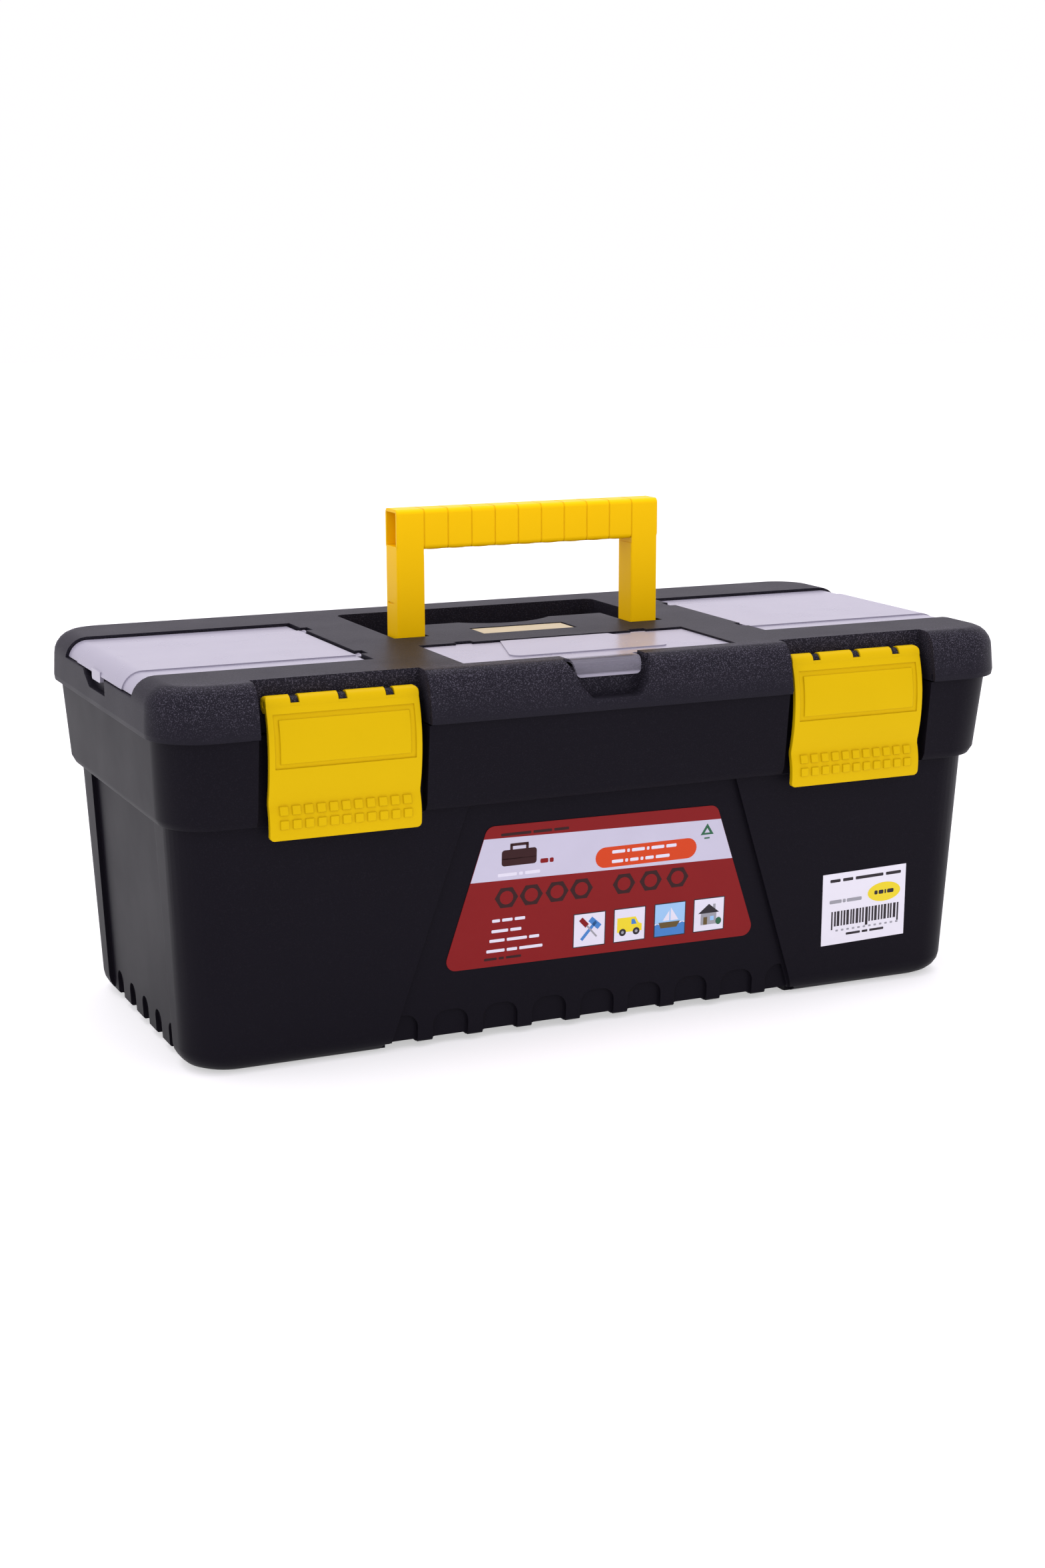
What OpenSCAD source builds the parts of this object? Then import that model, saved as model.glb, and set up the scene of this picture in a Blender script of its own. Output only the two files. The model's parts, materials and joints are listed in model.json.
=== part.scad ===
// Plastic hip-roof toolbox with a lift-out tray: a tapered tub, a lid with three covered bins,
// a fold-down handle and two front latches.
// Frame: origin at the centre of the footprint on the floor, +X to the right along the length,
// -Y to the front (latch side), +Z up. Millimetres.

/* [Overall] */
// Length over the lid rim
rim_l = 356; // [350:1:362]
// Depth over the lid rim
rim_d = 174; // [172:1:178]
// Height of the lid's top face
top_z = 148; // [147:0.5:149]
// Height of the parting line between base and lid
split_z = 128.5; // [128:0.5:129]

/* [Base] */
// Wall thickness of the tub
tub_wall = 2.4; // [2.2:0.1:2.6]
// Inset of the tub's foot from the lid rim, at the ends
foot_in_x = 12.5; // [11:0.5:14]
// Inset of the tub's foot from the lid rim, front and back
foot_in_y = 16.5; // [15:0.5:18]
// Height of the band's lower edge
band_z = 95.5; // [94:0.5:97]
// Depth of the recessed panels
panel_depth = 2.0; // [1.6:0.1:2.2]
// Spacing of the scallops along the front
front_pitch = 20.8; // [20:0.1:21]
// Spacing of the scallops along the ends
end_pitch = 18.7; // [18:0.1:19]

/* [Latches] */
// Distance of each latch from the middle
latch_x = 107.8; // [104:0.5:110]
// Width of a latch
latch_w = 58.5; // [56:0.5:60]
// Height of the latch pins
latch_pin_z = 139.4; // [138.8:0.2:139.6]
// Number of grip studs in a row
latch_studs = 11; // [7:1:13]

/* [Handle] */
// Width over the handle's legs
handle_w = 114.6; // [110:0.2:116]
// Width of a leg seen from the front
leg_w = 11.7; // [10:0.1:12]
// Depth of the handle from front to back
handle_d = 12.2; // [11:0.1:12.2]
// Height of the handle's top when raised
handle_top = 198.3; // [190:0.1:198.4]
// Height of the grip bar
grip_h = 16; // [14:0.5:17]

/* [Lid bins] */
// Distance of the end covers' hinge edge from the middle
cover_x = 84; // [82:0.5:86]
// Half of the end covers' width, front to back
cover_half = 49; // [46:0.5:50]
// Half of the centre cover's length
mid_half = 57; // [54:0.5:57]
// Thickness of the covers
cover_t = 1.3; // [1.2:0.1:1.4]

/* [Tray] */
// Height of the tray's rim
tray_top = 119; // [112:1:120]
// Height of the tray's underside
tray_bottom = 86; // [84:1:90]

/* [Hidden] */
$fn = 48;

a_rim = rim_l / 2;
b_rim = rim_d / 2;
a_band = a_rim - 2.5;
b_band = b_rim - 2.5;
a_foot = a_rim - foot_in_x;
b_foot = b_rim - foot_in_y;
a_waist = a_rim - 8;
b_waist = b_rim - 11;
tilt_front = atan((b_waist - b_foot) / band_z);
tilt_end = atan((a_waist - a_foot) / band_z);
foot_r = 8;
floor_t = 4.4;
rim_top = split_z + 2.5;
ledge_z = 98.5;
foot_raise = 2.2;
arch_raise = 0.9;
front_arch = 14.6;
end_arch = 8.6;
end_lean = 6;
scallop_depth = 1.6;
label_corner = 4;
front_low = 89.5;
front_high = 57;
foot_half = front_low - 1.8;
end_half = 46.6;
end_shift = -1.6;

gap = 0.4;
pocket_half = 32.6;
pocket_x = latch_x + 0.5;
pocket_y = b_rim - 10.6;
lid_pocket_y = b_rim - 12.8;
latch_pin_y = b_rim - 9.2;
latch_pin_r = 1.25;
latch_t = 2;
latch_out = b_rim - 3.1;
latch_low = 90;
knuckle_r = 3.2;
ear_t = 2.6;
ear_pitch = 18.2;

hinge_y = b_rim + 0.7;
hinge_z = split_z - 3.5;
hinge_x = 100;
hinge_r = 2.9;
hinge_pin_r = 1.3;

plate_t = 2.2;
side_r = 9;
front_r = 7;
shoulder_z = top_z - side_r;
a_shoulder = a_rim - 0.04 * (shoulder_z - rim_top);
b_shoulder = b_rim - 0.23 * (shoulder_z - rim_top);
cover_sunk = 0.7;
panel_sunk = 0.5;
cover_top = top_z - cover_sunk;
seat_z = cover_top - 2.1;
bin_floor = 127;
mid_floor = 129.4;
bin_wall = 1.8;
end_open_z = 140.4;
mid_back = -27.4;
mid_front = -72.4;
pivot_in = 1.4;
cover_pin_r = 1.1;
cover_pin_z = cover_top - 1.3;
cover_tab_at = 32;
mid_tab_at = 38;
cover_gap = 1.35;
plate_x = -1.7;
plate_y = -2.4;

pivot_y = 0.6;
pivot_z = 138;
pivot_r = 2;
recess_half = 59.4;
recess_back = 62.5;
recess_corner = 4;
recess_floor = 131.4;
slot_inner = 44.5;
slot_front = -7;
platform_back = 27;
scoop_r = 28.7;

tray_ledge_a = 170;
tray_ledge_b = 72.5;
tray_low_a = 164;
tray_low_b = 69.5;
tray_wall = 1.6;
divider_x = 70;
spine_y = 6;

// ---------- shared shapes ----------

// Rounded rectangle of half sizes a and b
module rrect(a, b, r) {
    square([2 * (a - r), 2 * b], center = true);
    square([2 * a, 2 * (b - r)], center = true);
    for (sx = [-1, 1], sy = [-1, 1])
        translate([sx * (a - r), sy * (b - r)])
            circle(r);
}

// Smooth convex body through rounded rectangles [half x, half y, corner radius, height]
module loft(rings) {
    hull()
        for (q = rings)
            translate([0, 0, q[3]])
                linear_extrude(0.02)
                    rrect(q[0], q[1], q[2], $fn = 44);
}

// Box from a low corner to a high corner
module block(lo, hi) {
    translate(lo)
        cube(hi - lo);
}

// Round bar along X, from x0 to x1
module bar_x(x0, x1, y, z, r) {
    translate([x0, y, z])
        rotate([0, 90, 0])
            cylinder(h = x1 - x0, r = r);
}

// Round bar along Y, from y0 to y1
module bar_y(x, y0, y1, z, r) {
    translate([x, y1, z])
        rotate([90, 0, 0])
            cylinder(h = y1 - y0, r = r);
}

// Outline drawn in X and Z, extruded from y0 to y1
module slab_xz(y0, y1) {
    translate([0, y1, 0])
        rotate([90, 0, 0])
            linear_extrude(y1 - y0)
                children();
}

// Outline drawn in Y and Z, extruded from x0 to x1
module slab_yz(x0, x1) {
    translate([x0, 0, 0])
        rotate([90, 0, 90])
            linear_extrude(x1 - x0)
                children();
}

// Children drawn against the tub's sloping front: local -Y points out of it, +Z runs up it
module on_front() {
    translate([0, -b_foot, 0])
        rotate([tilt_front, 0, 0])
            children();
}

// Children drawn against the tub's sloping left end: local -X points out of it
module on_left() {
    translate([-a_foot, 0, 0])
        rotate([0, -tilt_end, 0])
            children();
}

// Children at the front and mirrored to the back
module front_and_back() {
    children();
    mirror([0, 1, 0])
        children();
}

// Children at the left and mirrored to the right
module left_and_right() {
    children();
    mirror([1, 0, 0])
        children();
}

// Rectangle with two round top corners, standing on its base line
module arch(w, h, r) {
    translate([-w / 2, 0])
        square([w, h - r]);
    translate([-w / 2 + r, 0])
        square([w - 2 * r, h]);
    for (s = [-1, 1])
        translate([s * (w / 2 - r), h - r])
            circle(r);
}

// ---------- base ----------

// Rings of the tub's rounded bottom edge and tapered sides
function tub_rings(inset, z0, r_edge) = [
    for (t = [0:18:90])
        let (z = z0 + r_edge * (1 - cos(t)), out = r_edge * (1 - sin(t)))
        [a_foot + (a_waist - a_foot) * z / band_z - inset - out,
         b_foot + (b_waist - b_foot) * z / band_z - inset - out,
         17 - inset - out / 2, z]
];

module tub_outside() {
    loft(concat(tub_rings(0, 0, foot_r), [[a_waist, b_waist, 18, band_z + 1.5]]));
}

module tub_inside() {
    loft(concat(tub_rings(tub_wall, floor_t, foot_r),
        [[a_waist - tub_wall, b_waist - tub_wall, 18 - tub_wall, ledge_z + 0.5]]));
}

module band_outside() {
    loft([
        [a_waist - 0.4, b_waist - 0.5, 17.6, band_z - 1.3],
        [a_waist + 2.2, b_waist + 3.2, 19, band_z - 0.3],
        [a_waist + 3.6, b_waist + 4.9, 20, band_z + 2.5],
        [a_band, b_band, 20, split_z],
        [a_band, b_band, 20, rim_top - 0.02]
    ]);
}

module band_inside() {
    loft([
        [a_waist + 1.4, b_waist + 2.8, 18, ledge_z],
        [a_band - tub_wall, b_band - tub_wall, 18, split_z],
        [a_band - tub_wall, b_band - tub_wall, 18, rim_top + 1]
    ]);
}

// Outline of the front panel, wider at the foot; grow widens it for the wall behind it
module front_panel_outline(grow) {
    polygon([
        [-front_low - grow, -3],
        [front_low + grow, -3],
        [front_high + grow, band_z - 0.8],
        [-front_high - grow, band_z - 0.8]
    ]);
}

module panel_cuts() {
    front_and_back()
        on_front()
            slab_xz(-8, panel_depth)
                front_panel_outline(0);
    left_and_right()
        on_left()
            slab_yz(-8, panel_depth)
                translate([-end_half, -3])
                    square([2 * end_half, band_z + 2.2]);
}

// Extra wall inside the tub, behind the recessed panels
module panel_backing() {
    front_and_back()
        on_front()
            slab_xz(0.5, panel_depth + tub_wall)
                front_panel_outline(tub_wall);
    left_and_right()
        on_left()
            slab_yz(0.5, panel_depth + tub_wall)
                translate([-end_half - tub_wall, -3])
                    square([2 * (end_half + tub_wall), band_z + 2.2]);
}

// Row of shallow arches along the foot of each panel, none reaching past the panel's edge;
// those at the ends lean in towards the underside
module scallops() {
    front_and_back()
        on_front()
            slab_xz(-1, panel_depth + scallop_depth)
                intersection() {
                    for (i = [-4:4])
                        translate([i * front_pitch, -3])
                            arch(front_arch, 16.6, 5.5);
                    front_panel_outline(-1);
                }
    left_and_right()
        on_left()
            for (i = [-2:2])
                translate([0, i * end_pitch + end_shift, 12.5])
                    rotate([0, -end_lean, 0])
                        slab_yz(-3, panel_depth + scallop_depth - 0.5)
                            translate([0, -17])
                                arch(end_arch, 17, 4);
}

// Lift of the underside between the corner feet, a little more under the edge at each arch
module foot_lift() {
    block([-foot_half, -b_rim, -1], [foot_half, b_rim, foot_raise]);
    left_and_right()
        block([-a_rim, 2 - end_half, -1], [12 - a_foot, end_half - 2, foot_raise]);
    front_and_back()
        for (i = [-4:4])
            translate([i * front_pitch, 0, -1])
                slab_xz(-b_rim, 6 - b_foot)
                    arch(front_arch - 0.6, 1 + foot_raise + arch_raise, 1.2);
    left_and_right()
        for (i = [-2:2])
            translate([0, i * end_pitch + end_shift, -1])
                slab_yz(-a_rim, 6 - a_foot)
                    arch(end_arch - 0.6, 1 + foot_raise + arch_raise, 1.2);
}

// Wall round each latch pocket, inside the band
module pocket_housing() {
    left_and_right()
        block([pocket_x - pocket_half - tub_wall, -b_rim, band_z - 2],
              [pocket_x + pocket_half + tub_wall, -pocket_y + tub_wall, rim_top]);
}

module pocket_cuts() {
    left_and_right() {
        block([pocket_x - pocket_half, -b_rim - 5, band_z - 2],
              [pocket_x + pocket_half, -pocket_y, rim_top + 2]);
        block([pocket_x - pocket_half - 2.9, -b_rim - 5, split_z - 0.5],
              [pocket_x + pocket_half + 2.9, -pocket_y + tub_wall + 2, rim_top + 2]);
    }
}

// Low ridge that the latch's lip closes under
module catch_ridges() {
    left_and_right()
        slab_yz(latch_x - 22, latch_x + 22)
            polygon([
                [-pocket_y + 0.5, 99.4],
                [-pocket_y - 0.7, 100.2],
                [-pocket_y - 0.7, 101.6],
                [-pocket_y + 0.5, 105]
            ]);
}

// Knuckles of the rear hinges that belong to the base
module base_knuckles() {
    for (s = [-1, 1], k = [-1, 1]) {
        lo = s * hinge_x + (k < 0 ? -18 : 6);
        bar_x(lo, lo + 12, hinge_y, hinge_z, hinge_r);
        block([lo, b_band - 1.8, hinge_z - 2.2], [lo + 12, hinge_y, hinge_z + 2]);
    }
}

module hinge_bores() {
    for (s = [-1, 1])
        bar_x(s * hinge_x - 20, s * hinge_x + 20, hinge_y, hinge_z, hinge_pin_r + 0.05);
}

module base_tub() {
    color([0.12, 0.115, 0.13])
        difference() {
            union() {
                difference() {
                    union() {
                        tub_outside();
                        band_outside();
                    }
                    difference() {
                        union() {
                            tub_inside();
                            band_inside();
                        }
                        panel_backing();
                        pocket_housing();
                    }
                    pocket_cuts();
                }
                catch_ridges();
                base_knuckles();
            }
            panel_cuts();
            scallops();
            foot_lift();
            hinge_bores();
        }
}

// ---------- lid ----------

// Rings of the lid's rounded shoulder: radius r at the ends and in height, r_front along the front
function lid_rings(inset, z_top, r, r_front) = [
    for (t = [0:15:90])
        let (turn = 1 - cos(t))
        [a_shoulder - inset - r * turn, b_shoulder - inset - r_front * turn,
         19 - inset - r_front * turn, z_top - r * (1 - sin(t))]
];

module lid_outside() {
    loft(concat([[a_rim - 0.3, b_rim - 0.3, 20.3, split_z], [a_rim, b_rim, 20.5, rim_top - 0.6]],
        lid_rings(0, top_z - 0.02, side_r, front_r)));
}

module lid_inside() {
    loft(concat([[a_band - 2.2, b_band - 2.3, 18, rim_top - 0.5]],
        lid_rings(2.4, top_z - plate_t, side_r - 1.5, front_r - 1.5)));
    translate([0, 0, split_z - 1])
        linear_extrude(rim_top - split_z + 1.3)
            rrect(a_band + 0.5, b_band + 0.5, 20.3);
}

// Walls of the handle recess, one wall thickness outside the recess itself
module recess_shape(grow, z0, z1) {
    for (s = [-1, 1])
        block([(s < 0 ? -recess_half : slot_inner) - grow, slot_front - grow, z0],
              [(s < 0 ? -slot_inner : recess_half) + grow, platform_back + 20, z1]);
    block([-recess_half - grow, platform_back - grow, z0],
          [recess_half + grow, platform_back + 20, z1]);
    translate([0, platform_back + 15, z0])
        linear_extrude(z1 - z0)
            rrect(recess_half + grow, recess_back - platform_back - 15 + grow, recess_corner + grow);
    intersection() {
        translate([0, platform_back - 14 + scoop_r, z0])
            cylinder(h = z1 - z0, r = scoop_r + grow);
        block([-recess_half, 0, z0], [recess_half, recess_back - 5, z1]);
    }
}

// Room under an end cover: the bin, its seat, and the open top of the end wall
module end_bin_cut() {
    block([-a_rim + 7.6, -cover_half + 1, bin_floor], [-cover_x - 2.2, cover_half - 1, top_z + 1]);
    block([-a_rim + 4.8, -cover_half + 1, rim_top + 2], [-cover_x - 9, cover_half - 1, top_z + 1]);
    block([-a_rim - 2, -cover_half - 0.5, seat_z], [-cover_x, cover_half + 0.5, top_z + 1]);
    block([-a_rim - 2, -cover_half - 0.5, end_open_z],
          [-a_rim + 8, cover_half + 0.5, top_z + 1]);
    for (s = [-1, 1])
        block([-cover_x - 2.7, s * cover_tab_at - 3.6, cover_pin_z - 2.1],
              [-cover_x + pivot_in + 1.5, s * cover_tab_at + 3.6, top_z + 1]);
}

// Finger notch in the end wall, below the cover's thumb tab
module end_notch() {
    slab_yz(-a_rim - 2, -a_rim + 2.9)
        polygon([[-12.5, 134.8], [11, 134.8], [18, 138.4], [22.5, end_open_z + 1],
                 [-11, end_open_z + 1]]);
}

module end_bin_walls() {
    block([-cover_x - 4, -cover_half - 1, seat_z - 2], [-cover_x + 0.8, cover_half + 1, top_z - 1]);
    block([-a_rim + 6, -cover_half - 1, bin_floor - bin_wall],
          [-cover_x - 2.2 + bin_wall, cover_half + 1, top_z - 1]);
    block([-a_rim + 3, -cover_half - 1, rim_top + 0.4], [-cover_x - 9, cover_half + 1, top_z - 1]);
    for (s = [-1, 1])
        block([-cover_x - 3, s * cover_tab_at - 6.4, cover_pin_z - 3.6],
              [-cover_x + pivot_in + 3.3, s * cover_tab_at + 6.4, top_z - 1]);
}

module end_pin_bores() {
    for (s = [-1, 1])
        bar_y(-cover_x + pivot_in, s * cover_tab_at - 5.4, s * cover_tab_at + 5.4,
              cover_pin_z, cover_pin_r + 0.06);
}

module mid_bin_walls() {
    block([-mid_half - 1.2, mid_front, seat_z - 2], [mid_half + 1.2, mid_back + 0.8, top_z - 1]);
    block([-mid_half, mid_front + 0.4, mid_floor - bin_wall], [mid_half, mid_back - 0.4, top_z - 1]);
    block([-25, -b_rim + 4, rim_top + 0.5], [25, mid_front + 2, top_z - 1]);
    for (s = [-1, 1])
        block([s * mid_tab_at - 6.4, mid_back - 3, cover_pin_z - 3.6],
              [s * mid_tab_at + 6.4, mid_back + pivot_in + 3.3, top_z - 1]);
}

module mid_bin_cut() {
    block([-mid_half + 1.8, mid_front + 2.2, mid_floor], [mid_half - 1.8, mid_back - 2.2, top_z + 1]);
    block([-mid_half - 0.4, mid_front - 0.4, seat_z], [mid_half + 0.4, mid_back, top_z + 1]);
    block([-18.2, -b_rim - 1, seat_z - 1], [14.6, mid_front + 3, top_z + 1]);
    for (s = [-1, 1])
        block([s * mid_tab_at - 3.6, mid_back - 2.7, cover_pin_z - 2.1],
              [s * mid_tab_at + 3.6, mid_back + pivot_in + 1.5, top_z + 1]);
    slab_xz(-b_rim - 2, -b_rim + 7.6)
        offset(r = 3)
            offset(delta = -3)
                polygon([[-10, 133], [9.5, 133], [12.8, 138], [14.4, 144], [18, top_z + 5],
                         [-23, top_z + 5], [-17.5, 144], [-14.5, 138]]);
}

module mid_pin_bores() {
    for (s = [-1, 1])
        bar_x(s * mid_tab_at - 5.4, s * mid_tab_at + 5.4, mid_back + pivot_in, cover_pin_z,
              cover_pin_r + 0.06);
}

// Walls round the latch pockets, with the ears that hold the latch pin
module lid_pocket_walls() {
    left_and_right()
        block([pocket_x - pocket_half - 2.2, -b_rim + 3, split_z],
              [pocket_x + pocket_half + 2.2, -lid_pocket_y + 2.2, top_z - 1]);
}

module lid_pocket_cuts() {
    left_and_right()
        block([pocket_x - pocket_half, -b_rim - 2, split_z - 2],
              [pocket_x + pocket_half, -lid_pocket_y, top_z + 2]);
}

module latch_ears() {
    left_and_right()
        for (k = [-1:1])
            translate([latch_x + k * ear_pitch - ear_t / 2, 0, 0]) {
                bar_x(0, ear_t, -latch_pin_y, latch_pin_z, 2.7);
                block([0, -latch_pin_y, latch_pin_z - 2.7],
                      [ear_t, -lid_pocket_y + 1, latch_pin_z + 2.2]);
            }
}

module latch_ear_bores() {
    left_and_right()
        bar_x(latch_x - 20, latch_x + 20, -latch_pin_y, latch_pin_z, latch_pin_r + 0.02);
}

module lid_knuckles() {
    for (s = [-1, 1]) {
        bar_x(s * hinge_x - 5.6, s * hinge_x + 5.6, hinge_y, hinge_z, hinge_r);
        block([s * hinge_x - 5.6, b_rim - 1.8, hinge_z],
              [s * hinge_x + 5.6, b_rim + 1.6, split_z + 1]);
    }
}

module handle_bosses() {
    left_and_right()
        block([-recess_half - 6, pivot_y - 5, recess_floor - 1], [-recess_half, pivot_y + 5, 144]);
}

module lid_shell() {
    color([0.13, 0.125, 0.14])
        difference() {
            union() {
                difference() {
                    lid_outside();
                    lid_inside();
                }
                intersection() {
                    lid_outside();
                    union() {
                        left_and_right()
                            end_bin_walls();
                        mid_bin_walls();
                        lid_pocket_walls();
                        recess_shape(1.8, recess_floor - 1.8, top_z - 1);
                        handle_bosses();
                    }
                }
                left_and_right()
                    block([-a_rim + 6, -cover_half - 1, bin_floor - bin_wall],
                          [-cover_x - 2.2 + bin_wall, cover_half + 1, split_z + 1]);
                lid_knuckles();
            }
            left_and_right() {
                end_bin_cut();
                end_notch();
                end_pin_bores();
            }
            mid_bin_cut();
            mid_pin_bores();
            lid_pocket_cuts();
            recess_shape(0, recess_floor, top_z + 1);
            block([plate_x - 20.6, plate_y - 7.6, top_z - 1.1], [plate_x + 20.6, plate_y + 7.6, top_z + 1]);
            bar_x(-recess_half - 6.5, recess_half + 6.5, pivot_y, pivot_z, pivot_r + 0.02);
            hinge_bores();
        }
    color([0.13, 0.125, 0.14])
        difference() {
            latch_ears();
            latch_ear_bores();
        }
}

// ---------- handle ----------

module carry_handle() {
    half = handle_w / 2;
    grip_low = handle_top - grip_h;
    y_mid = pivot_y;
    n_seg = 9;
    seg = 2 * (half - leg_w) / n_seg;
    color([0.91, 0.75, 0.02])
        difference() {
            union() {
                for (s = [-1, 1])
                    translate([s * (half - leg_w / 2), y_mid, pivot_z])
                        linear_extrude(handle_top - pivot_z - 4)
                            rrect(leg_w / 2, handle_d / 2, 0.7);
                for (s = [-1, 1])
                    bar_x(s * (half - leg_w / 2) - leg_w / 2, s * (half - leg_w / 2) + leg_w / 2,
                          y_mid, pivot_z, handle_d / 2);
                translate([-half, y_mid, grip_low + grip_h / 2])
                    rotate([90, 0, 90])
                        linear_extrude(handle_w)
                            rrect(handle_d / 2, grip_h / 2, 2);
                // each segment of the grip swells a little underneath
                for (i = [0:n_seg - 1])
                    intersection() {
                        translate([-half + leg_w + (i + 0.5) * seg, 0, grip_low - 0.3 + 34])
                            rotate([90, 0, 0])
                                cylinder(h = handle_d, r = 34, center = true);
                        block([-half + leg_w + i * seg + 0.3, y_mid - 3.2, grip_low - 2],
                              [-half + leg_w + (i + 1) * seg - 0.3, y_mid + 3.2, grip_low + 2]);
                    }
            }
            // thin grooves between the segments
            for (i = [0:n_seg])
                translate([-half + leg_w + i * seg, y_mid, grip_low + grip_h / 2])
                    rotate([90, 0, 90])
                        difference() {
                            translate([0, 0, -0.2])
                                linear_extrude(0.4)
                                    square([handle_d + 4, grip_h + 4], center = true);
                            translate([0, 0, -0.5])
                                linear_extrude(1)
                                    rrect(handle_d / 2 - 0.22, grip_h / 2 - 0.22, 1.78);
                        }
            // the bar is hollow and open at both ends
            for (s = [-1, 1])
                block([s < 0 ? -half - 1 : half - 9.5, y_mid - handle_d / 2 + 1.1, grip_low + 1.4],
                      [s < 0 ? -half + 9.5 : half + 1, y_mid + handle_d / 2 - 1.1, handle_top - 1.3]);
            // step line round each leg
            for (s = [-1, 1])
                block([s < 0 ? -half - 1 : half - 0.4, y_mid - 1.5, 160.6],
                      [s < 0 ? -half + 0.4 : half + 1, y_mid + 4, 161.2]);
            bar_x(-half - 1, half + 1, pivot_y, pivot_z, pivot_r + 0.05);
        }
}

module handle_pin(s) {
    color("silver")
        bar_x(s < 0 ? -recess_half - 5.8 : recess_half - 13.8,
              s < 0 ? -recess_half + 13.8 : recess_half + 5.8, pivot_y, pivot_z, pivot_r);
}

module handle_pin_left() {
    handle_pin(-1);
}

module handle_pin_right() {
    handle_pin(1);
}

// ---------- latches ----------

// How far the latch's outer face stands in front of the box middle, at a height: a bowed plate
// above a shallow neck, then a grip that bulges again
function latch_face(z) =
    let (bow = z > 122 ? 50 : 60)
    z > 103.7
        ? latch_out - bow + sqrt(bow * bow - (z - 122) * (z - 122))
        : latch_out - 1.3 - 0.0206 * (z - 95) * (z - 95);

// Profile between two offsets of the outer face, from a low height to a high one
module latch_profile(out, in, z0, z1, n = 34) {
    polygon(concat(
        [for (i = [0:n]) let (z = z0 + (z1 - z0) * i / n) [-latch_face(z) - out, z]],
        [for (i = [n:-1:0]) let (z = z0 + (z1 - z0) * i / n) [-latch_face(z) + in, z]]
    ));
}

module latch() {
    half = latch_w / 2;
    stud_pitch = 47.6 / (latch_studs - 1);
    color([0.91, 0.75, 0.02])
        difference() {
            union() {
                intersection() {
                    union() {
                        slab_yz(-half, half)
                            latch_profile(0, latch_t, latch_low, latch_pin_z);
                        bar_x(-half, half, -latch_pin_y, latch_pin_z, knuckle_r);
                    }
                    translate([0, -60, (latch_low + latch_pin_z + knuckle_r) / 2])
                        rotate([90, 0, 0])
                            linear_extrude(40)
                                rrect(half, (latch_pin_z + knuckle_r - latch_low) / 2, 1.8);
                }
                // lip that closes under the base's ridge
                slab_yz(-21, 21)
                    polygon([
                        [-latch_face(98) + latch_t - 0.6, 99.2],
                        [-pocket_y - 1.15, 98.4],
                        [-pocket_y - 1.15, 97.4],
                        [-latch_face(96) + latch_t - 0.6, 95.6]
                    ]);
                // two rows of grip studs
                intersection() {
                    slab_yz(-half, half)
                        latch_profile(0.6, 0.5, latch_low + 1, 105);
                    for (i = [0:latch_studs - 1], z = [95.9, 101])
                        translate([-23.8 + i * stud_pitch - 1.6, -b_rim - 10, z - 1.6])
                            cube([3.2, 30, 3.2]);
                }
            }
            // framed panel
            intersection() {
                slab_yz(-half, half)
                    latch_profile(1, 0.55, 114, 139);
                difference() {
                    block([-27, -b_rim - 10, 116.6], [27, -60, 136.2]);
                    block([-25, -b_rim - 11, 118.4], [25, -50, 134.2]);
                }
            }
            // slots round the ears of the lid
            for (k = [-1:1])
                translate([k * ear_pitch - ear_t / 2 - gap, 0, 0]) {
                    block([0, -latch_pin_y - 1.6, latch_pin_z - 3.4],
                          [ear_t + 2 * gap, -60, latch_pin_z + 5]);
                    block([0, -b_rim - 5, latch_pin_z + 0.6],
                          [ear_t + 2 * gap, -60, latch_pin_z + 5]);
                    bar_x(0, ear_t + 2 * gap, -latch_pin_y, latch_pin_z, 3.05);
                }
            bar_x(-half - 1, half + 1, -latch_pin_y, latch_pin_z, latch_pin_r + 0.05);
        }
}

module latch_left() {
    translate([-latch_x, 0, 0])
        latch();
}

module latch_right() {
    translate([latch_x, 0, 0])
        latch();
}

module latch_pin(s) {
    color("silver")
        bar_x(s * latch_x - latch_w / 2 + 0.5, s * latch_x + latch_w / 2 - 0.5,
              -latch_pin_y, latch_pin_z, latch_pin_r);
}

module latch_pin_left() {
    latch_pin(-1);
}

module latch_pin_right() {
    latch_pin(1);
}

// ---------- rear hinge pins ----------

module hinge_pin(s) {
    color("silver")
        bar_x(s * hinge_x - 17.6, s * hinge_x + 17.6, hinge_y, hinge_z, hinge_pin_r);
}

module hinge_pin_left() {
    hinge_pin(-1);
}

module hinge_pin_right() {
    hinge_pin(1);
}

// ---------- bin covers ----------

// Outline of an end cover along the length: flat top that rolls down over the lid's end
module end_cover_outline(t0, t1) {
    x_turn = a_shoulder - side_r;
    r0 = side_r - cover_sunk - t0;
    r1 = side_r - cover_sunk - t1;
    low = end_open_z + gap - shoulder_z;
    polygon(concat(
        [[-cover_x - cover_gap, cover_top - t0]],
        [for (i = [0:9]) let (t = acos(low / r0) * i / 9)
            [-x_turn - r0 * sin(t), shoulder_z + r0 * cos(t)]],
        [for (i = [9:-1:0]) let (t = acos(low / r1) * i / 9)
            [-x_turn - r1 * sin(t), shoulder_z + r1 * cos(t)]],
        [[-cover_x - cover_gap, cover_top - t1]]
    ));
}

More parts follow.
